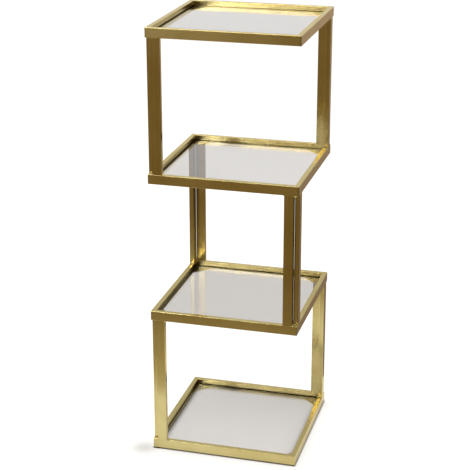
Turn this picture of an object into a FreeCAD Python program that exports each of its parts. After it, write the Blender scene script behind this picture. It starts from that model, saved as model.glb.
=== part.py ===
import FreeCAD, Part

import math
import os

# Four-tier square etagere: gold tube frames with drop-in glass, carried on paired corner bars.
# Millimetres. +Z is up, the front is at -Y, and the origin is on the floor under the middle.

# Driving dimensions of the whole stand
STAND_WIDTH = 340.0
STAND_DEPTH = 340.0
BAY_HEIGHT = 303.0

# Rectangular tube that every rail and bar is cut from
TUBE_FACE = 22.0
TUBE_THICKNESS = 11.0
TUBE_WALL = 1.2
TUBE_EDGE_RADIUS = 1.0

# Frame corners, ground round after welding
FRAME_CORNER_RADIUS = 2.0

# Triangular plates welded into the frame corners, flush with the underside
GUSSET_LEG = 42.0
GUSSET_THICKNESS = 1.5

# Clear bumpers on the plates, which the glass lies on
BUMPER_DIAMETER = 10.0
BUMPER_THICKNESS = 1.0

# Glass panels
GLASS_THICKNESS = 8.0
GLASS_CLEARANCE = 3.0
GLASS_CORNER_RADIUS = 3.0
GLASS_ARRIS = 0.8

# Pads under the base frame's corners
PAD_DIAMETER = 8.0
PAD_THICKNESS = 2.0

# Tiers from the floor up, and the two corners where each bay's posts stand
TIERS = ("base", "lower", "upper", "top")
BAY_POSTS = (
    ("base", ("front_left", "back_right")),
    ("lower", ("back_left", "front_right")),
    ("upper", ("front_left", "back_right")),
)

# Corner name to the direction from the stand's middle axis to that corner
CORNERS = {
    "front_left": (-1, -1),
    "front_right": (1, -1),
    "back_right": (1, 1),
    "back_left": (-1, 1),
}

# Derived sizes
HALF_WIDTH = STAND_WIDTH / 2
HALF_DEPTH = STAND_DEPTH / 2
TIER_PITCH = TUBE_FACE + BAY_HEIGHT
GLASS_RISE = GUSSET_THICKNESS + BUMPER_THICKNESS
BUMPER_INSET = GUSSET_LEG * (1 - math.sqrt(0.5))


def vector(x, y, z=0.0):
    return FreeCAD.Vector(x, y, z)


def tier_bottom(tier):
    """Height of the underside of a tier's frame."""
    return PAD_THICKNESS + TIERS.index(tier) * TIER_PITCH


def export(shape, node):
    shape.exportStep("parts/" + node + ".step")


def upright_edges(shape):
    """Edges of a box that run along Z."""
    return [edge for edge in shape.Edges if edge.Vertexes[0].Z != edge.Vertexes[-1].Z]


def straight_tube(across, along, height):
    """Tube standing on the origin, centred on Z, with its four long edges rounded."""
    outer = Part.makeBox(across, along, height, vector(-across / 2, -along / 2))
    outer = outer.makeFillet(TUBE_EDGE_RADIUS, upright_edges(outer))
    hollow_across = across - 2 * TUBE_WALL
    hollow_along = along - 2 * TUBE_WALL
    hollow = Part.makeBox(hollow_across, hollow_along, height, vector(-hollow_across / 2, -hollow_along / 2))
    return outer.cut(hollow)


def ground_corner(degrees):
    """Place on a frame's ground corner, from its sharp tip, so many degrees round from the outer face."""
    turn = math.radians(degrees)
    return FRAME_CORNER_RADIUS * (1 - math.sin(turn)), FRAME_CORNER_RADIUS * (1 - math.cos(turn))


def mitre_outline(length):
    """Plan of a rail along X: outer face on y = 0, mitred ends, ground outer corners."""
    half = length / 2
    inner_half = half - TUBE_THICKNESS
    # Each corner's arc runs from the mitre line round to the outer face
    arc_places = [ground_corner(degrees) for degrees in (45, 22.5, 0)]
    left = [vector(x - half, y) for x, y in arc_places]
    right = [vector(half - x, y) for x, y in arc_places]
    inner_left = vector(-inner_half, TUBE_THICKNESS)
    inner_right = vector(inner_half, TUBE_THICKNESS)
    edges = [
        Part.Arc(*left).toShape(),
        Part.makeLine(left[-1], right[-1]),
        Part.Arc(*reversed(right)).toShape(),
        Part.makeLine(right[0], inner_right),
        Part.makeLine(inner_right, inner_left),
        Part.makeLine(inner_left, left[0]),
    ]
    return Part.Face(Part.Wire(edges))


def mitred_rail(length):
    """Rail along X lying on z = 0, with its outer face on y = 0."""
    tube = straight_tube(TUBE_FACE, TUBE_THICKNESS, length)
    tube.rotate(vector(0, 0), vector(0, 1), 90)
    tube.translate(vector(-length / 2, TUBE_THICKNESS / 2, TUBE_FACE / 2))
    return tube.common(mitre_outline(length).extrude(vector(0, 0, TUBE_FACE)))


def make_frame_rails(tier):
    # Side of the frame, rail length, turn about Z and distance of its outer face from the middle
    sides = (
        ("front", STAND_WIDTH, 0, HALF_DEPTH),
        ("right", STAND_DEPTH, 90, HALF_WIDTH),
        ("back", STAND_WIDTH, 180, HALF_DEPTH),
        ("left", STAND_DEPTH, 270, HALF_WIDTH),
    )
    for side, length, turn, reach in sides:
        rail = mitred_rail(length)
        rail.translate(vector(0, -reach, tier_bottom(tier)))
        rail.rotate(vector(0, 0), vector(0, 0, 1), turn)
        export(rail, f"{tier}_rail_{side}")


def make_post(bay, corner):
    """Two bars of one post, on the front or back rail and on the side rail, with their near edges in line."""
    to_x, to_y = CORNERS[corner]
    bottom = tier_bottom(bay) + TUBE_FACE
    along_rail = TUBE_THICKNESS + TUBE_FACE / 2
    across_rail = TUBE_THICKNESS / 2

    facing_bar = straight_tube(TUBE_FACE, TUBE_THICKNESS, BAY_HEIGHT)
    facing_bar.translate(vector(to_x * (HALF_WIDTH - along_rail), to_y * (HALF_DEPTH - across_rail), bottom))
    export(facing_bar, f"{bay}_post_{corner}_facing_bar")

    side_bar = straight_tube(TUBE_THICKNESS, TUBE_FACE, BAY_HEIGHT)
    side_bar.translate(vector(to_x * (HALF_WIDTH - across_rail), to_y * (HALF_DEPTH - along_rail), bottom))
    export(side_bar, f"{bay}_post_{corner}_side_bar")


def make_gusset(tier, corner):
    """Right-angled plate against the inner faces of two rails."""
    to_x, to_y = CORNERS[corner]
    x = to_x * (HALF_WIDTH - TUBE_THICKNESS)
    y = to_y * (HALF_DEPTH - TUBE_THICKNESS)
    z = tier_bottom(tier)
    points = [vector(x, y, z), vector(x - to_x * GUSSET_LEG, y, z), vector(x, y - to_y * GUSSET_LEG, z)]
    outline = Part.makePolygon(points + points[:1])
    export(Part.Face(outline).extrude(vector(0, 0, GUSSET_THICKNESS)), f"{tier}_gusset_{corner}")


def make_bumpers(tier):
    """One clear disc on each of a tier's four plates."""
    z = tier_bottom(tier) + GUSSET_THICKNESS
    reach_x = HALF_WIDTH - TUBE_THICKNESS - BUMPER_INSET
    reach_y = HALF_DEPTH - TUBE_THICKNESS - BUMPER_INSET
    discs = []
    for to_x, to_y in CORNERS.values():
        place = vector(to_x * reach_x, to_y * reach_y, z)
        discs.append(Part.makeCylinder(BUMPER_DIAMETER / 2, BUMPER_THICKNESS, place))
    export(Part.makeCompound(discs), f"{tier}_bumpers")


def make_glass(tier):
    """Panel that drops inside the rails, with rounded corners and ground arrises."""
    width = STAND_WIDTH - 2 * (TUBE_THICKNESS + GLASS_CLEARANCE)
    depth = STAND_DEPTH - 2 * (TUBE_THICKNESS + GLASS_CLEARANCE)
    bottom = tier_bottom(tier) + GLASS_RISE
    panel = Part.makeBox(width, depth, GLASS_THICKNESS, vector(-width / 2, -depth / 2, bottom))
    panel = panel.makeFillet(GLASS_CORNER_RADIUS, upright_edges(panel))
    level_edges = [edge for edge in panel.Edges if edge.BoundBox.ZLength < GLASS_ARRIS]
    export(panel.makeChamfer(GLASS_ARRIS, level_edges), f"{tier}_glass")


def make_floor_pad(corner):
    """Disc stuck over the base frame's mitre, centred on the tube."""
    to_x, to_y = CORNERS[corner]
    inset = TUBE_THICKNESS / 2
    place = vector(to_x * (HALF_WIDTH - inset), to_y * (HALF_DEPTH - inset), 0)
    export(Part.makeCylinder(PAD_DIAMETER / 2, PAD_THICKNESS, place), f"floor_pad_{corner}")


def main():
    os.makedirs("parts", exist_ok=True)
    for tier in TIERS:
        make_frame_rails(tier)
        make_bumpers(tier)
        make_glass(tier)
        for corner in CORNERS:
            make_gusset(tier, corner)
    for bay, corners in BAY_POSTS:
        for corner in corners:
            make_post(bay, corner)
    for corner in CORNERS:
        make_floor_pad(corner)


main()
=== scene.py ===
import math

import bmesh
import bpy
from mathutils import Matrix, Vector


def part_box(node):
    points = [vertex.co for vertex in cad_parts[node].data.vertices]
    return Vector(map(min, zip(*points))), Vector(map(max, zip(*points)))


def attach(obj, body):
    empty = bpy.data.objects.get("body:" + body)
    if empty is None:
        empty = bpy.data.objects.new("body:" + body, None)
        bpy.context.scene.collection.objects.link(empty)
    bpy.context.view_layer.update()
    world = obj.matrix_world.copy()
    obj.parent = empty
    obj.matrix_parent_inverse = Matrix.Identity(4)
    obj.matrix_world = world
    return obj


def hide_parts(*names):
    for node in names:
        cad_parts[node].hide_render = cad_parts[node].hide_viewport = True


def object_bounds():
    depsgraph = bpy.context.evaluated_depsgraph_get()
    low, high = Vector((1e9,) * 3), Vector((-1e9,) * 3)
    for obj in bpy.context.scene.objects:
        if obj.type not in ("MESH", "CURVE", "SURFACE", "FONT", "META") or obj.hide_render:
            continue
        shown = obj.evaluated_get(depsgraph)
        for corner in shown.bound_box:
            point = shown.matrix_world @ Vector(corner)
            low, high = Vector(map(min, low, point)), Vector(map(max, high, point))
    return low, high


bl_info = {
    "name": "Gold Etagere",
    "version": (1, 0, 0),
    "blender": (4, 5, 0),
    "location": "View3D > Sidebar > Etagere",
    "description": "Finishes, welds, bumpers and studio of a four-tier gold and glass etagere",
    "category": "Object",
}

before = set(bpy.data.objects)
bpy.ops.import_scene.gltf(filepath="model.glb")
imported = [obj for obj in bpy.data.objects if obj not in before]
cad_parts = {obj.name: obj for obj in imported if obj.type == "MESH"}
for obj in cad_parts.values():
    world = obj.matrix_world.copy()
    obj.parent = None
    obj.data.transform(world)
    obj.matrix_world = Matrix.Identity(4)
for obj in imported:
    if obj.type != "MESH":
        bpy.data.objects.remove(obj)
CAD_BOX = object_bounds()

IMAGE_PIXELS = 470
MM = 0.001

# Axis numbers, for boxes and patterns
X, Y, Z = 0, 1, 2

# Settings and colour sockets of nodes that many materials use
COLOUR_MIX = {"data_type": "RGBA"}
FIRST_COLOUR, SECOND_COLOUR, MIXED_COLOUR = 6, 7, 2
SOFT_STEP = {"interpolation_type": "SMOOTHSTEP"}
WHITE = (1, 1, 1, 1)

# Where the values of one noise pattern mostly lie, and those of two added together
NOISE_SPAN = {"From Min": 0.3, "From Max": 0.7}
PAIR_SPAN = {"From Min": 0.75, "From Max": 1.25}

# How level a panel's surface is where its ground edge ends and where its face starts
FACE_SPAN = {"From Min": 0.8, "From Max": 0.99}

# How much rougher and smoother than the middle the brushed lines are
BRUSH_CONTRAST = 0.02

# Weight of the clear lacquer over the plating
LACQUER = 0.08

TIERS = ("base", "lower", "upper", "top")

# Rails run along X at the front and back, and along Y at the sides
RAIL_AXES = {"front": X, "back": X, "left": Y, "right": Y}

# Bead section: the crown's share of the leg, and its points' turns from the rail up to the bar
BEAD_CROWN = 0.8
BEAD_TURNS = tuple(math.radians(degrees) for degrees in (20, 45, 70))

# Bead along its run: steps, ripples, its size at the ends and the steps from there to full size
BEAD_STEPS = 20
BEAD_RIPPLES = 5
BEAD_END = 0.45
BEAD_END_STEPS = 3

# Lump section: shares of its height and of its width there, and its points' turns round the notch
TACK_PROFILE = ((0.0, 1.0), (0.3, 0.78), (0.6, 0.5), (0.85, 0.22))
TACK_TURNS = tuple(math.radians(degrees) for degrees in (0, 15, 30, 45, 60, 75, 90))

# Steps round a bumper's upper edge, and the angle past which an edge of a new piece stays sharp
BUMPER_EDGE_STEPS = 5
SHARP_ANGLE = math.radians(40)

# Reach of the studio floor, and how far inside the base's outer faces the rails' middle line lies
FLOOR_REACH = 18.0
RAIL_MIDDLE = 0.0055

# Distances from that line where the paper's lift starts and is full: outside, inside and far out
SHADE_OUTSIDE = (0.0045, 0.0095)
SHADE_INSIDE = (-0.0045, -0.022)
PAPER_FAR = (0.3, 1.6)

# Share of that lift under the base's front rail, and a soft shade beside the front left corner
UNDER_FRONT = 1.2
CORNER_SHADE = (-0.19, -0.175, 0.0)
CORNER_SHADE_REACH = 0.05

# Cards that only reflections show: two opposite corners of each
FRONT_CARD = ((-9.0, -18.0, 0.002), (0.15, -0.45, 0.002))
FRONT_RIGHT_CARD = ((0.15, -18.0, 0.002), (9.0, -0.72, 0.002))
RIGHT_CARD = ((0.6, -0.72, 0.002), (8.0, 0.3, 0.002))
LEFT_CARD = ((-8.0, -0.45, 0.002), (-0.6, 2.0, 0.002))
BACK_CARD = ((0.05, 0.3, 0.002), (6.0, 10.0, 0.002))
NEAR_CARD = ((-0.02, 0.5, 0.004), (0.22, 1.0, 0.004))

# Where along Y the near and far colours of the front and back cards lie
FRONT_FADE = (-0.45, -1.07)
BACK_FADE = (0.5, 5.0)

# Places on a unit sphere of directions: heights of the foot and head of the back wall's dim band, and where
# along Y the front wall gives way to that wall
BAND_FOOT = (0.325, 0.36)
BAND_HEAD = (0.415, 0.45)
WALL_TURN = (-0.3, 0.3)

LAMP_AIM = Vector((0, 0, 0.5))
SENSOR_WIDTH = 36.0


def linear(hex_colour):
    """Linear RGBA of an sRGB hex colour."""
    channels = [int(hex_colour[place:place + 2], 16) / 255 for place in (1, 3, 5)]
    return tuple(c / 12.92 if c <= 0.04045 else ((c + 0.055) / 1.055) ** 2.4 for c in channels) + (1.0,)


def colour_property(name, description, hex_colour):
    return bpy.props.FloatVectorProperty(
        name=name, description=description, subtype="COLOR", size=4, min=0, max=1,
        default=linear(hex_colour))


def size_property(name, description, millimetres):
    return bpy.props.FloatProperty(
        name=name, description=description, subtype="DISTANCE", unit="LENGTH", min=0,
        default=millimetres * MM)


def share_property(name, description, share):
    return bpy.props.FloatProperty(
        name=name, description=description, subtype="FACTOR", min=0, max=1, default=share)


def angle_property(name, description, degrees):
    return bpy.props.FloatProperty(
        name=name, description=description, subtype="ANGLE", unit="ROTATION", default=math.radians(degrees))


def lamp_property(name, description, watts):
    return bpy.props.FloatProperty(name=name, description=description, unit="POWER", min=0, default=watts)


class EtagereFinishes(bpy.types.PropertyGroup):
    """Colours and surface sizes of the stand's materials."""

    gold: colour_property("Gold", "Plating where the brushed lines lie open to the light", "#D6C88E")
    gold_deep: colour_property("Deep gold", "Plating in the slow, warmer patches", "#C7B678")
    gold_edge: colour_property(
        "Gold at low angles", "What the lacquered plating keeps of a glancing reflection", "#F3EBDA")
    brush_spacing: size_property("Brush spacing", "Distance between brushed lines", 0.9)
    brush_length: size_property("Brush length", "Length of one brushed line", 1500)
    patch_size: size_property("Patch size", "Size of the slow changes in the plating's tone", 70)
    polish: share_property("Roughness", "Middle roughness of the brushed plating", 0.21)
    sheet_clouds: size_property("Sheet clouds", "Size of the clouds in the corner plates' satin", 9)
    weld_ripples: size_property("Weld ripples", "Size of the uneven spots on a weld", 1.6)
    glass_tint: colour_property("Glass tint", "What a panel lets through", "#D2CFCC")
    glass_edge: colour_property("Glass edge", "What a ground edge lets through", "#171611")
    glass_shade: colour_property(
        "Glass shade", "What each face of a panel leaves of the lamps' light", "#FBFBFA")
    grind_marks: size_property("Grind marks", "Size of the wheel marks on a panel's ground edge", 0.8)
    bumper_tint: colour_property("Bumper tint", "Clear silicone of the bumpers", "#EDEFEA")
    bumper_haze: size_property("Bumper haze", "Size of the faint clouds in the silicone", 3)
    rubber: colour_property("Pad rubber", "Moulded rubber of the floor pads", "#2B2927")
    rubber_grain: size_property("Rubber grain", "Grain of the moulded rubber", 0.6)


class EtagereWelds(bpy.types.PropertyGroup):
    """Sizes of the welds at the feet and heads of the bars."""

    leg: size_property("Bead leg", "Leg of the beads beside a bar", 2.6)
    sink: size_property("Bead sink", "How far a weld runs into what it joins", 0.3)
    ripple: share_property("Bead ripple", "How much a bead swells at each ripple", 0.1)
    tube_edge: size_property("Tube edge", "Rounded edge of the tube that a flush weld fills", 1.0)
    flush_depth: size_property("Flush depth", "How far a flush weld lies below the faces beside it", 0.05)
    tack_radius: size_property("Tack radius", "Reach of the lump that ties two bars together", 7.5)
    tack_height: size_property("Tack height", "Height of that lump above its rail", 9.5)


class EtagereBumpers(bpy.types.PropertyGroup):
    """Shape of the clear bumpers under the glass."""

    radius: size_property("Radius", "Half width of a bumper", 5.0)
    rounding: size_property("Rounding", "Rounded upper edge of a bumper", 0.7)
    segments: bpy.props.IntProperty(name="Segments", description="Segments round a bumper", min=8, default=32)


class EtagereStudio(bpy.types.PropertyGroup):
    """Camera, lamps and backdrop."""

    camera_place: bpy.props.FloatVectorProperty(
        name="Camera place", description="Where the camera stands", subtype="XYZ", unit="LENGTH", size=3,
        default=(0.7550, -2.8548, 1.5729))
    camera_turn: angle_property(
        "Camera turn", "Turn of the view from straight back towards the left", 15.14)
    camera_dip: angle_property("Camera dip", "Dip of the view below the horizon", 19.76)
    focal_pixels: bpy.props.FloatProperty(
        name="Focal length", description="Focal length in pixels of the picture", min=1, default=1357.4)
    shift_up: bpy.props.FloatProperty(
        name="Shift", description="Vertical shift of the lens, as part of the picture", default=-0.02)
    paper: colour_property("Paper", "Pale floor that the stand is on", "#BFBEBB")
    paper_tooth: size_property("Paper tooth", "Grain of the paper", 2)
    paper_glow: share_property("Paper glow", "Lift that makes the lit paper white to the eye", 0.69)
    mirror_share: share_property("Mirror share", "What metal and glass show of that lift", 0.9)
    under_share: share_property(
        "Under share", "What the paper keeps of that lift under the base's back rail", 0.84)
    corner_shade: share_property("Corner shade", "Depth of a soft shade beside the front left corner", 0.3)
    paper_far_glow: share_property("Far glow", "Further lift where the lamps no longer reach the paper", 0.15)
    front_near: colour_property(
        "Front card near", "Near edge of a card in front, shown by the metal alone", "#CBBFA2")
    front_far: colour_property("Front card far", "The rest of that card", "#87714E")
    back_near: colour_property(
        "Back card near", "Near edge of a card behind, shown by the metal alone", "#988884")
    back_far: colour_property("Back card far", "Far part of that card", "#BBABA6")
    dark_card: colour_property("Dark card", "Dark cards at both sides, shown by the metal alone", "#4A3C2A")
    back_wall: share_property("Back wall", "Brightness of the studio wall behind, above the horizon", 0.92)
    back_band: share_property("Back band", "Brightness of a dim band across that wall", 0.25)
    ceiling: share_property("Ceiling", "Brightness of the studio above the band", 0.65)
    front_wall: colour_property("Front wall", "Dark studio in front, above the horizon", "#5A4A38")
    overhead_watts: lamp_property("Overhead", "Soft lamp above the stand", 28)
    key_watts: lamp_property("Key", "Soft lamp at the front left", 8.0)
    key_side_watts: lamp_property("Key side", "Weaker lamp beside it", 1.3)
    key_head_watts: lamp_property("Key head", "Small lamp over that one", 4.2)
    fill_watts: lamp_property("Fill", "Soft lamp at the right", 10)
    white_light: colour_property("White light", "Colour of the main lamps", "#FFFFFF")
    warm_light: colour_property("Warm light", "Colour of the weaker front lamps", "#FFF6DA")


def add_node(tree, kind, settings=None, inputs=None):
    """New node with its settings, and its inputs set to values or linked to sockets."""
    node = tree.nodes.new(kind)
    for name, value in (settings or {}).items():
        setattr(node, name, value)
    for name, value in (inputs or {}).items():
        if isinstance(value, bpy.types.NodeSocket):
            tree.links.new(value, node.inputs[name])
        else:
            node.inputs[name].default_value = value
    return node


def new_material(name):
    """Empty node material and its tree."""
    material = bpy.data.materials.new(name)
    material.use_nodes = True
    material.node_tree.nodes.clear()
    return material, material.node_tree


def cycles(size):
    """Pattern scale that gives features of this size, in metres."""
    return 1 / size


def brushed_gold(axis):
    """Brass-plated steel tube, brushed along its length and lacquered: a soft mirror with fine lines."""
    finishes = bpy.context.scene.etagere_finishes
    material, tree = new_material("brass plating brushed along " + "XYZ"[axis])

    # Long, fine lines follow the tube. Real ones lie closer than the picture can show, so these are coarser.
    line_sizes = [finishes.brush_spacing] * 3
    line_sizes[axis] = finishes.brush_length
    place = add_node(tree, "ShaderNodeTexCoord").outputs["Object"]
    stretched = add_node(tree, "ShaderNodeMapping", inputs={
        "Vector": place, "Scale": [cycles(size) for size in line_sizes]}).outputs["Vector"]
    lines = add_node(tree, "ShaderNodeTexNoise", inputs={
        "Vector": stretched, "Scale": 1.0, "Detail": 1.0}).outputs["Fac"]

    # Plating comes out a little warmer in slow patches
    patches = add_node(tree, "ShaderNodeTexNoise", inputs={
        "Vector": place, "Scale": cycles(finishes.patch_size), "Detail": 2.0}).outputs["Fac"]
    tone = add_node(tree, "ShaderNodeMath", {"operation": "ADD"}, {0: patches, 1: lines})
    deep_share = add_node(tree, "ShaderNodeMapRange", inputs={"Value": tone.outputs[0], **PAIR_SPAN})
    colour = add_node(tree, "ShaderNodeMix", COLOUR_MIX, {
        "Factor": deep_share.outputs[0], FIRST_COLOUR: finishes.gold, SECOND_COLOUR: finishes.gold_deep})

    # Lines break up the gloss and tilt the surface slightly across the tube
    gloss = add_node(tree, "ShaderNodeMapRange", inputs={
        "Value": lines, **NOISE_SPAN,
        "To Min": finishes.polish - BRUSH_CONTRAST, "To Max": finishes.polish + BRUSH_CONTRAST})
    relief = add_node(tree, "ShaderNodeBump", inputs={
        "Height": lines, "Strength": 0.01, "Distance": 0.05 * MM})
    across = add_node(tree, "ShaderNodeTangent", {"direction_type": "RADIAL", "axis": "XYZ"[axis]})
    shader = add_node(tree, "ShaderNodeBsdfPrincipled", inputs={
        "Base Color": colour.outputs[MIXED_COLOUR], "Metallic": 1.0, "Roughness": gloss.outputs[0],
        "Normal": relief.outputs[0], "Tangent": across.outputs[0], "Anisotropic": 0.5,
        "Specular Tint": finishes.gold_edge, "Coat Weight": LACQUER, "Coat Roughness": 0.12})
    add_node(tree, "ShaderNodeOutputMaterial", inputs={"Surface": shader.outputs[0]})
    return material


def unbrushed_gold(name, grain, detail, gloss_range, bump, depth, lacquer_roughness):
    """Lacquered brass plating over steel that wasn't brushed, clouded by the grain of that steel."""
    finishes = bpy.context.scene.etagere_finishes
    material, tree = new_material(name)
    place = add_node(tree, "ShaderNodeTexCoord").outputs["Object"]
    clouds = add_node(tree, "ShaderNodeTexNoise", inputs={
        "Vector": place, "Scale": cycles(grain), "Detail": detail}).outputs["Fac"]
    colour = add_node(tree, "ShaderNodeMix", COLOUR_MIX, {
        "Factor": clouds, FIRST_COLOUR: finishes.gold, SECOND_COLOUR: finishes.gold_deep})
    gloss = add_node(tree, "ShaderNodeMapRange", inputs={
        "Value": clouds, **NOISE_SPAN, "To Min": gloss_range[0], "To Max": gloss_range[1]})
    relief = add_node(tree, "ShaderNodeBump", inputs={
        "Height": clouds, "Strength": bump, "Distance": depth})
    shader = add_node(tree, "ShaderNodeBsdfPrincipled", inputs={
        "Base Color": colour.outputs[MIXED_COLOUR], "Metallic": 1.0, "Roughness": gloss.outputs[0],
        "Normal": relief.outputs[0], "Coat Weight": LACQUER, "Coat Roughness": lacquer_roughness})
    add_node(tree, "ShaderNodeOutputMaterial", inputs={"Surface": shader.outputs[0]})
    return material


def plated_plate():
    """Brass-plated steel sheet, rolled and left unbrushed: an even satin with faint clouds."""
    return unbrushed_gold(
        "brass plated sheet steel", bpy.context.scene.etagere_finishes.sheet_clouds, detail=4.0,
        gloss_range=(0.32, 0.44), bump=0.2, depth=0.1 * MM, lacquer_roughness=0.15)


def plated_weld():
    """Brass-plated weld metal: it froze in ripples, so the plating over it is bright and uneven."""
    return unbrushed_gold(
        "brass plated weld bead", bpy.context.scene.etagere_finishes.weld_ripples, detail=2.0,
        gloss_range=(0.2, 0.34), bump=0.3, depth=0.2 * MM, lacquer_roughness=0.1)


def float_glass():
    """Clear float glass: fire-polished faces that mirror at low angles, and ground edges that scatter."""
    finishes = bpy.context.scene.etagere_finishes
    material, tree = new_material("clear float glass with ground edges")
    place = add_node(tree, "ShaderNodeTexCoord").outputs["Object"]
    facing = add_node(tree, "ShaderNodeNewGeometry").outputs["Normal"]
    upright = add_node(tree, "ShaderNodeSeparateXYZ", inputs={"Vector": facing}).outputs["Z"]
    flatness = add_node(tree, "ShaderNodeMath", {"operation": "ABSOLUTE"}, {0: upright}).outputs[0]
    face = add_node(tree, "ShaderNodeMapRange", inputs={"Value": flatness, **FACE_SPAN}).outputs[0]

    # Wheel marks of the grinding, drawn coarse enough to show
    grind = add_node(tree, "ShaderNodeTexNoise", inputs={
        "Vector": place, "Scale": cycles(finishes.grind_marks), "Detail": 2.0}).outputs["Fac"]
    edge_gloss = add_node(tree, "ShaderNodeMapRange", inputs={
        "Value": grind, **NOISE_SPAN, "To Min": 0.25, "To Max": 0.4})
    gloss = add_node(tree, "ShaderNodeMapRange", inputs={
        "Value": face, "To Min": edge_gloss.outputs[0], "To Max": 0.0})
    colour = add_node(tree, "ShaderNodeMix", COLOUR_MIX, {
        "Factor": face, FIRST_COLOUR: finishes.glass_edge, SECOND_COLOUR: finishes.glass_tint})
    glass = add_node(tree, "ShaderNodeBsdfPrincipled", inputs={
        "Base Color": colour.outputs[MIXED_COLOUR], "Roughness": gloss.outputs[0],
        "IOR": 1.52, "Transmission Weight": face})

    # Lamps shine through, so the panels shade the floor only faintly
    clear = add_node(tree, "ShaderNodeBsdfTransparent", inputs={"Color": finishes.glass_shade})
    rays = add_node(tree, "ShaderNodeLightPath")
    shader = add_node(tree, "ShaderNodeMixShader", inputs={
        0: rays.outputs["Is Shadow Ray"], 1: glass.outputs[0], 2: clear.outputs[0]})
    add_node(tree, "ShaderNodeOutputMaterial", inputs={"Surface": shader.outputs[0]})
    return material


def clear_silicone():
    """Cast clear silicone: soft, faintly cloudy and half glossy."""
    finishes = bpy.context.scene.etagere_finishes
    material, tree = new_material("cast clear silicone")
    place = add_node(tree, "ShaderNodeTexCoord").outputs["Object"]
    haze = add_node(tree, "ShaderNodeTexNoise", inputs={
        "Vector": place, "Scale": cycles(finishes.bumper_haze), "Detail": 2.0}).outputs["Fac"]
    gloss = add_node(tree, "ShaderNodeMapRange", inputs={
        "Value": haze, **NOISE_SPAN, "To Min": 0.15, "To Max": 0.3})
    shader = add_node(tree, "ShaderNodeBsdfPrincipled", inputs={
        "Base Color": finishes.bumper_tint, "Roughness": gloss.outputs[0],
        "IOR": 1.41, "Transmission Weight": 0.85})
    add_node(tree, "ShaderNodeOutputMaterial", inputs={"Surface": shader.outputs[0]})
    return material


def moulded_rubber():
    """Moulded rubber: nearly black, matt, with a fine grain from the mould."""
    finishes = bpy.context.scene.etagere_finishes
    material, tree = new_material("moulded rubber")
    place = add_node(tree, "ShaderNodeTexCoord").outputs["Object"]
    grain = add_node(tree, "ShaderNodeTexNoise", inputs={
        "Vector": place, "Scale": cycles(finishes.rubber_grain), "Detail": 3.0}).outputs["Fac"]
    gloss = add_node(tree, "ShaderNodeMapRange", inputs={
        "Value": grain, **NOISE_SPAN, "To Min": 0.6, "To Max": 0.8})
    relief = add_node(tree, "ShaderNodeBump", inputs={
        "Height": grain, "Strength": 0.4, "Distance": 0.1 * MM})
    shader = add_node(tree, "ShaderNodeBsdfPrincipled", inputs={
        "Base Color": finishes.rubber, "Roughness": gloss.outputs[0], "Normal": relief.outputs[0]})
    add_node(tree, "ShaderNodeOutputMaterial", inputs={"Surface": shader.outputs[0]})
    return material


def paper_lift(tree, place):
    """Lift of the paper, with painted shade in it: none under the rails, and dimmer towards the back under
    the base.
    """
    studio = bpy.context.scene.etagere_studio
    parts = add_node(tree, "ShaderNodeSeparateXYZ", inputs={"Vector": place})

    # Distance outside the middle line of the base frame's rails
    outside = []
    for axis, reach in (("X", CAD_BOX[1][X]), ("Y", CAD_BOX[1][Y])):
        distance = add_node(tree, "ShaderNodeMath", {"operation": "ABSOLUTE"}, {0: parts.outputs[axis]})
        outside.append(add_node(tree, "ShaderNodeMath", {"operation": "SUBTRACT"}, {
            0: distance.outputs[0], 1: reach - RAIL_MIDDLE}).outputs[0])
    beyond = add_node(tree, "ShaderNodeMath", {"operation": "MAXIMUM"}, {0: outside[0], 1: outside[1]})

    # Lift on both sides of the rails, and more far out
    under = add_node(tree, "ShaderNodeMapRange", inputs={
        "Value": parts.outputs["Y"], "From Min": CAD_BOX[0][Y], "From Max": CAD_BOX[1][Y],
        "To Min": studio.paper_glow * UNDER_FRONT, "To Max": studio.paper_glow * studio.under_share})
    lifts = []
    for (start, end), most in (
            (SHADE_OUTSIDE, studio.paper_glow),
            (SHADE_INSIDE, under.outputs[0]),
            (PAPER_FAR, studio.paper_far_glow)):
        lifts.append(add_node(tree, "ShaderNodeMapRange", SOFT_STEP, {
            "Value": beyond.outputs[0], "From Min": start, "From Max": end,
            "To Min": 0.0, "To Max": most}).outputs[0])
    near = add_node(tree, "ShaderNodeMath", {"operation": "MAXIMUM"}, {0: lifts[0], 1: lifts[1]})
    whole = add_node(tree, "ShaderNodeMath", {"operation": "ADD"}, {0: near.outputs[0], 1: lifts[2]})

    # A painted soft shade lies beside the front left corner
    apart = add_node(tree, "ShaderNodeVectorMath", {"operation": "DISTANCE"}, {0: place, 1: CORNER_SHADE})
    shade = add_node(tree, "ShaderNodeMapRange", SOFT_STEP, {
        "Value": apart.outputs["Value"], "From Min": 0.0, "From Max": CORNER_SHADE_REACH,
        "To Min": studio.corner_shade, "To Max": 0.0})
    shaded = add_node(tree, "ShaderNodeMath", {"operation": "SUBTRACT"}, {
        0: whole.outputs[0], 1: shade.outputs[0]})
    return shaded.outputs[0]


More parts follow.
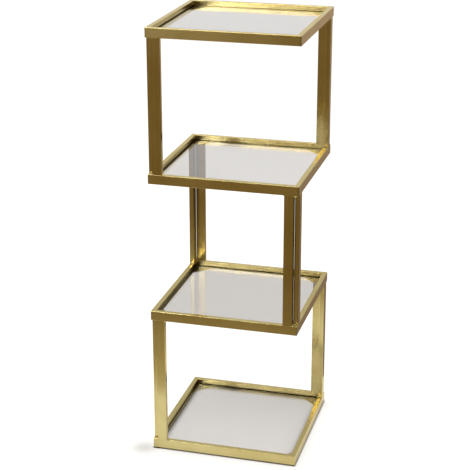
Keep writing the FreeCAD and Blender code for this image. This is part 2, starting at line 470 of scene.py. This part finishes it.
def white_paper():
    """Seamless paper: matt white with a faint tooth, lifted a little for the eye, the metal and the glass."""
    studio = bpy.context.scene.etagere_studio
    material, tree = new_material("seamless paper")
    place = add_node(tree, "ShaderNodeTexCoord").outputs["Object"]
    rays = add_node(tree, "ShaderNodeLightPath")
    turned = add_node(tree, "ShaderNodeMath", {"operation": "MAXIMUM"}, {
        0: rays.outputs["Is Glossy Ray"], 1: rays.outputs["Is Transmission Ray"]})
    mirrored = add_node(tree, "ShaderNodeMath", {"operation": "MULTIPLY"}, {
        0: turned.outputs[0], 1: studio.mirror_share})
    seen = add_node(tree, "ShaderNodeMath", {"operation": "MAXIMUM"}, {
        0: rays.outputs["Is Camera Ray"], 1: mirrored.outputs[0]})
    strength = add_node(tree, "ShaderNodeMath", {"operation": "MULTIPLY"}, {
        0: paper_lift(tree, place), 1: seen.outputs[0]})
    tooth = add_node(tree, "ShaderNodeTexNoise", inputs={
        "Vector": place, "Scale": cycles(studio.paper_tooth)}).outputs["Fac"]
    relief = add_node(tree, "ShaderNodeBump", inputs={
        "Height": tooth, "Strength": 0.05, "Distance": 0.1 * MM})
    shader = add_node(tree, "ShaderNodeBsdfPrincipled", inputs={
        "Base Color": studio.paper, "Roughness": 0.9, "Specular IOR Level": 0.0,
        "Normal": relief.outputs[0], "Emission Color": WHITE, "Emission Strength": strength.outputs[0]})
    add_node(tree, "ShaderNodeOutputMaterial", inputs={"Surface": shader.outputs[0]})
    return material


def lit_card(name):
    """Lit card for the metal alone, clear to light that no metal has turned yet: material, tree and glow."""
    material, tree = new_material(name)
    glow = add_node(tree, "ShaderNodeEmission")
    clear = add_node(tree, "ShaderNodeBsdfTransparent")
    turned = add_node(tree, "ShaderNodeLightPath").outputs["Glossy Depth"]
    shader = add_node(tree, "ShaderNodeMixShader", inputs={
        0: turned, 1: clear.outputs[0], 2: glow.outputs[0]})
    add_node(tree, "ShaderNodeOutputMaterial", inputs={"Surface": shader.outputs[0]})
    return material, tree, glow


def even_card(name, colour):
    """Lit card of one tone."""
    material, _, glow = lit_card(name)
    glow.inputs["Color"].default_value = colour
    return material


def fading_card(name, near, far, fade):
    """Lit card whose tone changes away from the stand, as a floor's does between its lamps."""
    material, tree, glow = lit_card(name)
    place = add_node(tree, "ShaderNodeTexCoord").outputs["Object"]
    parts = add_node(tree, "ShaderNodeSeparateXYZ", inputs={"Vector": place})
    share = add_node(tree, "ShaderNodeMapRange", SOFT_STEP, {
        "Value": parts.outputs["Y"], "From Min": fade[0], "From Max": fade[1]})
    colour = add_node(tree, "ShaderNodeMix", COLOUR_MIX, {
        "Factor": share.outputs[0], FIRST_COLOUR: near, SECOND_COLOUR: far})
    tree.links.new(colour.outputs[MIXED_COLOUR], glow.inputs["Color"])
    return material


def nodes_with(text):
    """Names of the CAD nodes whose names hold this text, in order."""
    names = sorted(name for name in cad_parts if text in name)
    if not names:
        raise RuntimeError("No CAD node has this in its name: " + text)
    return names


def paint_node(node, material):
    """Gives a CAD node its finish."""
    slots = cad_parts[node].material_slots
    if not slots:
        raise RuntimeError("CAD node without a material slot: " + node)
    for slot in slots:
        slot.material = material


def new_piece(name, shape, material):
    """Object at the origin from a finished bmesh."""
    mesh = bpy.data.meshes.new(name)
    shape.to_mesh(mesh)
    shape.free()
    mesh.materials.append(material)
    piece = bpy.data.objects.new(name, mesh)
    bpy.context.scene.collection.objects.link(piece)
    return piece


def smooth(piece):
    """Smooth shading that keeps sharp edges."""
    piece.data.shade_smooth()
    piece.data.set_sharp_from_angle(angle=SHARP_ANGLE)


def along(axis, length):
    """Vector of this length along one axis."""
    direction = Vector((0, 0, 0))
    direction[axis] = length
    return direction


def push_section(shape, corners, run, steps):
    """Closed prism: a loop through the corners, pushed along the run in equal steps and capped."""
    start = [shape.verts.new(corner) for corner in corners]
    loop = [shape.edges.new((vert, start[place - 1])) for place, vert in enumerate(start)]
    pushed = bmesh.ops.spin(
        shape, geom=start + loop, cent=(0, 0, 0), axis=(0, 0, 1), dvec=run / steps, angle=0, steps=steps)
    last = [item for item in pushed["geom_last"] if isinstance(item, bmesh.types.BMEdge)]
    bmesh.ops.contextual_create(shape, geom=loop)
    bmesh.ops.contextual_create(shape, geom=last)


def add_bead(shape, corner, out, up, run):
    """Fillet bead in the angle between a bar's narrow side and its rail, rippled along its run."""
    welds = bpy.context.scene.etagere_welds
    root = corner - (out + up) * welds.sink
    reach = welds.leg * BEAD_CROWN
    section = [root, corner + out * welds.leg - up * welds.sink]
    for turn in BEAD_TURNS:
        section.append(corner + out * reach * math.cos(turn) + up * reach * math.sin(turn))
    section.append(corner + up * welds.leg - out * welds.sink)
    before = set(shape.verts)
    push_section(shape, section, run, BEAD_STEPS)
    end_slope = BEAD_STEPS / BEAD_END_STEPS
    for vert in set(shape.verts) - before:
        gone = (vert.co - root).dot(run) / run.length_squared
        middle = root + run * gone
        swelling = 1 + welds.ripple * math.cos(2 * math.pi * BEAD_RIPPLES * gone)
        taper = min(1, BEAD_END + gone * end_slope, BEAD_END + (1 - gone) * end_slope)
        vert.co = middle + (vert.co - middle) * swelling * taper


def add_flush_weld(shape, edge, inwards, up, run):
    """Ground weld that fills the hollow between a bar's broad face and the rounded edge of its rail."""
    welds = bpy.context.scene.etagere_welds
    face = edge + inwards * welds.flush_depth
    section = [
        face + up * welds.sink,
        face - up * welds.tube_edge,
        edge + inwards * welds.tube_edge - up * welds.sink,
        edge + inwards * welds.tube_edge + up * welds.sink,
    ]
    push_section(shape, section, run, 1)


def add_tack(shape, corner, out_x, out_y, up):
    """Fillet of weld in the notch between two bars, widest on the rail and running up their near edges."""
    welds = bpy.context.scene.etagere_welds
    root = corner - (out_x + out_y) * welds.sink
    verts = [shape.verts.new(root - up * welds.sink), shape.verts.new(root + up * welds.tack_height)]
    for height, width in TACK_PROFILE:
        for turn in TACK_TURNS:
            aside = (out_x * math.cos(turn) + out_y * math.sin(turn)) * welds.tack_radius * width
            verts.append(shape.verts.new(root + aside + up * (welds.tack_height * height - welds.sink)))
    hull = bmesh.ops.convex_hull(shape, input=verts)
    left_over = hull["geom_interior"] + hull["geom_unused"]
    inside = {item for item in left_over if isinstance(item, bmesh.types.BMVert)}
    bmesh.ops.delete(shape, geom=list(inside), context="VERTS")


class ETAGERE_OT_finish_metal(bpy.types.Operator):
    """Brushed plating on the rails and bars, and satin plating on the corner plates"""

    bl_idname = "etagere.finish_metal"
    bl_label = "Finish metal"

    def execute(self, context):
        brushed = [brushed_gold(axis) for axis in (X, Y, Z)]
        for rail in nodes_with("_rail_"):
            side = rail.rsplit("_", 1)[1]
            paint_node(rail, brushed[RAIL_AXES[side]])
        for bar in nodes_with("_bar"):
            paint_node(bar, brushed[Z])
        plate = plated_plate()
        for gusset in nodes_with("_gusset_"):
            paint_node(gusset, plate)
        return {"FINISHED"}


class ETAGERE_OT_finish_glass(bpy.types.Operator):
    """Clear float glass in every tier"""

    bl_idname = "etagere.finish_glass"
    bl_label = "Finish glass"

    def execute(self, context):
        glass = float_glass()
        for tier in TIERS:
            paint_node(tier + "_glass", glass)
        return {"FINISHED"}


class ETAGERE_OT_finish_pads(bpy.types.Operator):
    """Moulded rubber on the floor pads"""

    bl_idname = "etagere.finish_pads"
    bl_label = "Finish pads"

    def execute(self, context):
        rubber = moulded_rubber()
        for pad in nodes_with("floor_pad_"):
            paint_node(pad, rubber)
        return {"FINISHED"}


class ETAGERE_OT_make_welds(bpy.types.Operator):
    """Welds at the foot and the head of every post"""

    bl_idname = "etagere.make_welds"
    bl_label = "Make welds"

    def execute(self, context):
        material = plated_weld()
        for facing_bar in nodes_with("_facing_bar"):
            post = facing_bar.removesuffix("_facing_bar")
            facing_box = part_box(facing_bar)
            side_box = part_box(post + "_side_bar")
            shape = bmesh.new()
            self.add_bar_welds(context, shape, facing_box, X, Y)
            self.add_bar_welds(context, shape, side_box, Y, X)
            self.add_post_tacks(shape, facing_box, side_box)
            bmesh.ops.recalc_face_normals(shape, faces=shape.faces)
            piece = new_piece(post + "_welds", shape, material)
            smooth(piece)
            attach(piece, "frame")
        return {"FINISHED"}

    def add_bar_welds(self, context, shape, box, broad, narrow):
        """Beads on a bar's narrow sides and flush welds on its broad faces, at both ends."""
        edge = context.scene.etagere_welds.tube_edge
        low, high = box
        for end, up in ((low, 1), (high, -1)):
            for side, out in ((low, -1), (high, 1)):
                corner = along(broad, side[broad]) + along(narrow, low[narrow] + edge) + along(Z, end[Z])
                run = along(narrow, high[narrow] - low[narrow] - 2 * edge)
                add_bead(shape, corner, along(broad, out), along(Z, up), run)
            for side, inwards in ((low, 1), (high, -1)):
                start = along(broad, low[broad] + edge) + along(narrow, side[narrow]) + along(Z, end[Z])
                run = along(broad, high[broad] - low[broad] - 2 * edge)
                add_flush_weld(shape, start, along(narrow, inwards), along(Z, up), run)

    def add_post_tacks(self, shape, facing_box, side_box):
        """Lumps in the notch that the bars leave, on the rail below and under the rail above."""
        corner = Vector((0, 0, 0))
        out = {}
        for axis, (low, high) in ((X, facing_box), (Y, side_box)):
            corner[axis] = high[axis] if high[axis] > 0 else low[axis]
            out[axis] = along(axis, math.copysign(1, high[axis]))
        for height, up in ((facing_box[0][Z], 1), (facing_box[1][Z], -1)):
            add_tack(shape, corner + along(Z, height), out[X], out[Y], along(Z, up))


class ETAGERE_OT_make_bumpers(bpy.types.Operator):
    """Soft clear bumpers under the glass, pressed flat on top"""

    bl_idname = "etagere.make_bumpers"
    bl_label = "Make bumpers"

    def execute(self, context):
        bumpers = context.scene.etagere_bumpers
        material = clear_silicone()
        for tier in TIERS:
            low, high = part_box(tier + "_bumpers")
            middle_height = (low[Z] + high[Z]) / 2
            shape = bmesh.new()
            for x in (low[X] + bumpers.radius, high[X] - bumpers.radius):
                for y in (low[Y] + bumpers.radius, high[Y] - bumpers.radius):
                    bmesh.ops.create_cone(
                        shape, cap_ends=True, segments=bumpers.segments, radius1=bumpers.radius,
                        radius2=bumpers.radius, depth=high[Z] - low[Z],
                        matrix=Matrix.Translation((x, y, middle_height)))
            top_rims = [
                edge for edge in shape.edges
                if all(vert.co[Z] > middle_height for vert in edge.verts)]
            bmesh.ops.bevel(
                shape, geom=top_rims, offset=bumpers.rounding, offset_type="OFFSET", affect="EDGES",
                segments=BUMPER_EDGE_STEPS, profile=0.5, material=-1)
            piece = new_piece(tier + "_soft_bumpers", shape, material)
            smooth(piece)
            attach(piece, "frame")
            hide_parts(tier + "_bumpers")
        return {"FINISHED"}


class ETAGERE_OT_set_studio(bpy.types.Operator):
    """Pale paper floor, soft lamps and the camera"""

    bl_idname = "etagere.set_studio"
    bl_label = "Set studio"

    def execute(self, context):
        self.lay_floor()
        self.lay_cards(context)
        self.light_walls(context)
        self.hang_lamps(context)
        self.place_camera(context)
        context.scene.view_settings.view_transform = "Standard"
        return {"FINISHED"}

    def lay_sheet(self, name, low, high, material):
        """Level stage sheet between two corners."""
        low, high = Vector(low), Vector(high)
        shape = bmesh.new()
        first = [shape.verts.new(low), shape.verts.new(low + along(X, high[X] - low[X]))]
        edge = shape.edges.new(first)
        pushed = bmesh.ops.extrude_edge_only(shape, edges=[edge])["geom"]
        moved = [item for item in pushed if isinstance(item, bmesh.types.BMVert)]
        bmesh.ops.translate(shape, verts=moved, vec=along(Y, high[Y] - low[Y]))
        sheet = new_piece(name, shape, material)
        return sheet

    def lay_floor(self):
        reach = Vector((FLOOR_REACH, FLOOR_REACH, 0))
        self.lay_sheet("floor_paper", -reach, reach, white_paper())

    def lay_cards(self, context):
        """Cards that shade the metal: warm in front, grey at the back right and dark at both sides."""
        studio = context.scene.etagere_studio
        dark = even_card("dark card", studio.dark_card)
        warm = fading_card("warm card", studio.front_near, studio.front_far, FRONT_FADE)
        grey = fading_card("grey card", studio.back_near, studio.back_far, BACK_FADE)
        cards = (
            ("front_card", FRONT_CARD, warm),
            ("front_right_card", FRONT_RIGHT_CARD, dark),
            ("right_card", RIGHT_CARD, dark),
            ("left_card", LEFT_CARD, dark),
            ("near_card", NEAR_CARD, dark),
            ("back_card", BACK_CARD, grey),
        )
        for name, corners, material in cards:
            card = self.lay_sheet(name, *corners, material)
            card.visible_camera = False
            card.visible_diffuse = False
            card.visible_shadow = False

    def light_walls(self, context):
        """Studio walls: white to the camera and through glass, and dark in front in reflections."""
        studio = context.scene.etagere_studio
        world = bpy.data.worlds.new("studio walls")
        context.scene.world = world
        world.use_nodes = True
        tree = world.node_tree
        tree.nodes.clear()
        direction = add_node(tree, "ShaderNodeTexCoord").outputs["Generated"]
        parts = add_node(tree, "ShaderNodeSeparateXYZ", inputs={"Vector": direction})
        rays = add_node(tree, "ShaderNodeLightPath")

        # The dim band shows in the glass, whose mirror is sharp, and not in the brushed metal
        band = add_node(tree, "ShaderNodeMapRange", inputs={
            "Value": rays.outputs["Is Singular Ray"], "To Min": studio.ceiling, "To Max": studio.back_band})
        low_wall = add_node(tree, "ShaderNodeMapRange", SOFT_STEP, {
            "Value": parts.outputs["Z"], "From Min": BAND_FOOT[0], "From Max": BAND_FOOT[1],
            "To Min": studio.back_wall, "To Max": band.outputs[0]})
        whole_wall = add_node(tree, "ShaderNodeMapRange", SOFT_STEP, {
            "Value": parts.outputs["Z"], "From Min": BAND_HEAD[0], "From Max": BAND_HEAD[1],
            "To Min": low_wall.outputs[0], "To Max": studio.ceiling})
        behind = add_node(tree, "ShaderNodeBackground", inputs={
            "Color": WHITE, "Strength": whole_wall.outputs[0]})

        in_front = add_node(tree, "ShaderNodeBackground", inputs={"Color": studio.front_wall})
        turn = add_node(tree, "ShaderNodeMapRange", SOFT_STEP, {
            "Value": parts.outputs["Y"], "From Min": WALL_TURN[0], "From Max": WALL_TURN[1]})
        walls = add_node(tree, "ShaderNodeMixShader", inputs={
            0: turn.outputs[0], 1: in_front.outputs[0], 2: behind.outputs[0]})
        white = add_node(tree, "ShaderNodeBackground", inputs={"Color": WHITE})
        seen = add_node(tree, "ShaderNodeMath", {"operation": "MAXIMUM"}, {
            0: rays.outputs["Is Camera Ray"], 1: rays.outputs["Is Transmission Ray"]})
        shown = add_node(tree, "ShaderNodeMixShader", inputs={
            0: seen.outputs[0], 1: walls.outputs[0], 2: white.outputs[0]})
        add_node(tree, "ShaderNodeOutputWorld", inputs={"Surface": shown.outputs[0]})

    def hang_lamps(self, context):
        """Soft rectangular lamps: name, place, sides, power and colour of each."""
        studio = context.scene.etagere_studio
        white, warm = studio.white_light, studio.warm_light
        lamps = (
            ("overhead_softbox", (-0.75, -0.05, 2.5), (1.6, 1.6), studio.overhead_watts, white),
            ("front_left_softbox", (-1.02, -2.85, 1.31), (0.5, 0.3), studio.key_watts, white),
            ("front_softbox", (-0.55, -2.85, 1.7), (0.44, 1.0), studio.key_side_watts, warm),
            ("front_head_softbox", (-0.57, -2.86, 1.94), (0.32, 0.45), studio.key_head_watts, warm),
            ("right_fill", (1.9, 0.9, 1.8), (1.2, 1.2), studio.fill_watts, white),
        )
        for name, place, sides, watts, colour in lamps:
            light = bpy.data.lights.new(name, "AREA")
            light.shape = "RECTANGLE"
            light.size, light.size_y = sides
            light.energy = watts
            light.color = colour[:3]
            lamp = bpy.data.objects.new(name, light)
            lamp.location = place
            lamp.rotation_mode = "QUATERNION"
            lamp.rotation_quaternion = (LAMP_AIM - Vector(place)).to_track_quat("-Z", "Y")
            lamp.visible_camera = False
            lamp.visible_transmission = False
            context.scene.collection.objects.link(lamp)

    def place_camera(self, context):
        studio = context.scene.etagere_studio
        data = bpy.data.cameras.new("camera")
        data.sensor_width = SENSOR_WIDTH
        data.lens = studio.focal_pixels / IMAGE_PIXELS * SENSOR_WIDTH
        data.shift_y = studio.shift_up
        camera = bpy.data.objects.new("camera", data)
        camera.location = studio.camera_place
        level = math.cos(studio.camera_dip)
        look = Vector((
            -math.sin(studio.camera_turn) * level,
            math.cos(studio.camera_turn) * level,
            -math.sin(studio.camera_dip)))
        camera.rotation_mode = "QUATERNION"
        camera.rotation_quaternion = look.to_track_quat("-Z", "Y")
        context.scene.collection.objects.link(camera)
        context.scene.camera = camera


class ETAGERE_PT_sidebar(bpy.types.Panel):
    """Sizes and colours of the etagere, and the steps that make it"""

    bl_idname = "ETAGERE_PT_sidebar"
    bl_label = "Etagere"
    bl_space_type = "VIEW_3D"
    bl_region_type = "UI"
    bl_category = "Etagere"

    def draw(self, context):
        for group in GROUPS:
            settings = getattr(context.scene, group)
            column = self.layout.column(align=True)
            for name in settings.bl_rna.properties.keys():
                if name not in ("rna_type", "name"):
                    column.prop(settings, name)
        for operator in OPERATORS:
            self.layout.operator(operator.bl_idname)


GROUPS = {
    "etagere_finishes": EtagereFinishes,
    "etagere_welds": EtagereWelds,
    "etagere_bumpers": EtagereBumpers,
    "etagere_studio": EtagereStudio,
}
OPERATORS = (
    ETAGERE_OT_finish_metal,
    ETAGERE_OT_finish_glass,
    ETAGERE_OT_finish_pads,
    ETAGERE_OT_make_welds,
    ETAGERE_OT_make_bumpers,
    ETAGERE_OT_set_studio,
)
CLASSES = (*GROUPS.values(), *OPERATORS, ETAGERE_PT_sidebar)


def register():
    for kind in CLASSES:
        bpy.utils.register_class(kind)
    for name, group in GROUPS.items():
        setattr(bpy.types.Scene, name, bpy.props.PointerProperty(type=group))


def unregister():
    for name in GROUPS:
        delattr(bpy.types.Scene, name)
    for kind in reversed(CLASSES):
        bpy.utils.unregister_class(kind)


def main():
    register()
    bpy.ops.etagere.finish_metal()
    bpy.ops.etagere.finish_glass()
    bpy.ops.etagere.finish_pads()
    bpy.ops.etagere.make_welds()
    bpy.ops.etagere.make_bumpers()
    bpy.ops.etagere.set_studio()


if __name__ == "__main__":
    main()
